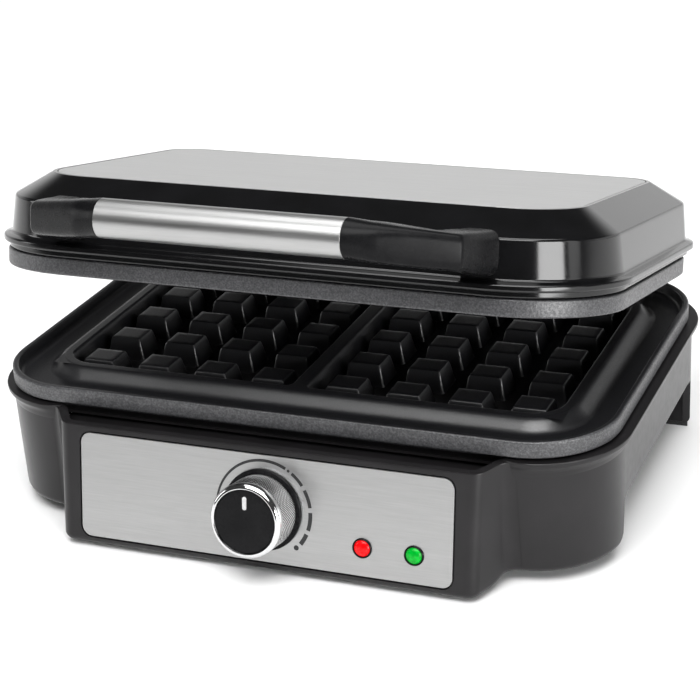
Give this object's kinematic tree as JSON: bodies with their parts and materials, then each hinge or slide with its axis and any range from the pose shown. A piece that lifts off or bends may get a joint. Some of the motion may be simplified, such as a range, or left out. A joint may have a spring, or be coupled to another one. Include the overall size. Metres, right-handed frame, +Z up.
{
  "type": "waffle maker",
  "caption": "Countertop twin waffle maker with hinged black lid, steel top panel, tube handle, rectangular cooking plates and a sloping steel panel with thermostat knob and lamps.",
  "frame": {"origin": "on the table, under the middle of the object's bounding box", "axes": "+Z up, +Y to the back (hinge side), -Y to the front (knob and handle), +X to the right seen from the front"},
  "size_m": [0.281, 0.2658, 0.1608],
  "materials": {
    "gloss_black": "polished moulded black",
    "satin_black": "satin moulded black",
    "inner_plastic": "plain moulded",
    "nonstick": "dark non-stick coat on cast metal",
    "brushed_steel": "brushed lengthwise",
    "chrome": "polished",
    "zinc_steel": "plain zinc-plated",
    "heater_steel": "heat-darkened tube",
    "rubber": "matt",
    "red_lens": "clear tinted",
    "green_lens": "clear tinted",
    "pointer_white": "plain"
  },
  "bodies": {
    "base": {"base_housing": "gloss_black", "bottom_cover": "satin_black", "cover_screws": "zinc_steel", "cover_pillars": "satin_black", "lower_cooking_plate": "nonstick", "lower_plate_screws": "zinc_steel", "lower_heating_element": "heater_steel", "lower_heat_shield": "zinc_steel", "front_feet": "rubber", "rear_feet": "rubber", "cord_gland": "satin_black", "terminal_block": "inner_plastic", "thermal_fuse": "zinc_steel", "control_panel": "brushed_steel", "thermostat": "zinc_steel", "knob_base_ring": "satin_black", "red_lamp_lens": "red_lens", "green_lamp_lens": "green_lens", "lamp_bezels": "satin_black", "lamp_holders": "inner_plastic", "hinge_bracket_right": "satin_black", "hinge_bracket_left": "satin_black", "bracket_screws": "zinc_steel", "hinge_pins": "zinc_steel"},
    "knob": {"knob_body": "satin_black", "knob_bezel": "chrome", "knob_cap": "satin_black", "knob_pointer": "pointer_white", "thermostat_shaft": "zinc_steel"},
    "lid": {"lid_housing": "gloss_black", "lid_top_panel": "brushed_steel", "lid_posts": "inner_plastic", "upper_cooking_plate": "nonstick", "upper_plate_screws": "zinc_steel", "upper_heating_element": "heater_steel", "upper_heat_shield": "zinc_steel", "handle_tube": "brushed_steel", "handle_core": "zinc_steel", "handle_grip_right": "satin_black", "handle_grip_left": "satin_black", "handle_screws": "zinc_steel", "hinge_arm_right": "satin_black", "hinge_arm_left": "satin_black", "hinge_arm_screws": "zinc_steel"}
  },
  "joints": [
    {"name": "lid_hinge", "type": "hinge", "parent": "base", "child": "lid", "pos_m": [0, 0.1242, 0.0788], "axis": [-1, 0, 0], "range_deg": [-13, 82]},
    {"name": "thermostat_knob", "type": "hinge", "parent": "base", "child": "knob", "pos_m": [0.001, -0.11268, 0.02759], "axis": [0, -0.9816, 0.1908], "range_deg": [-150, 90]}
  ]
}
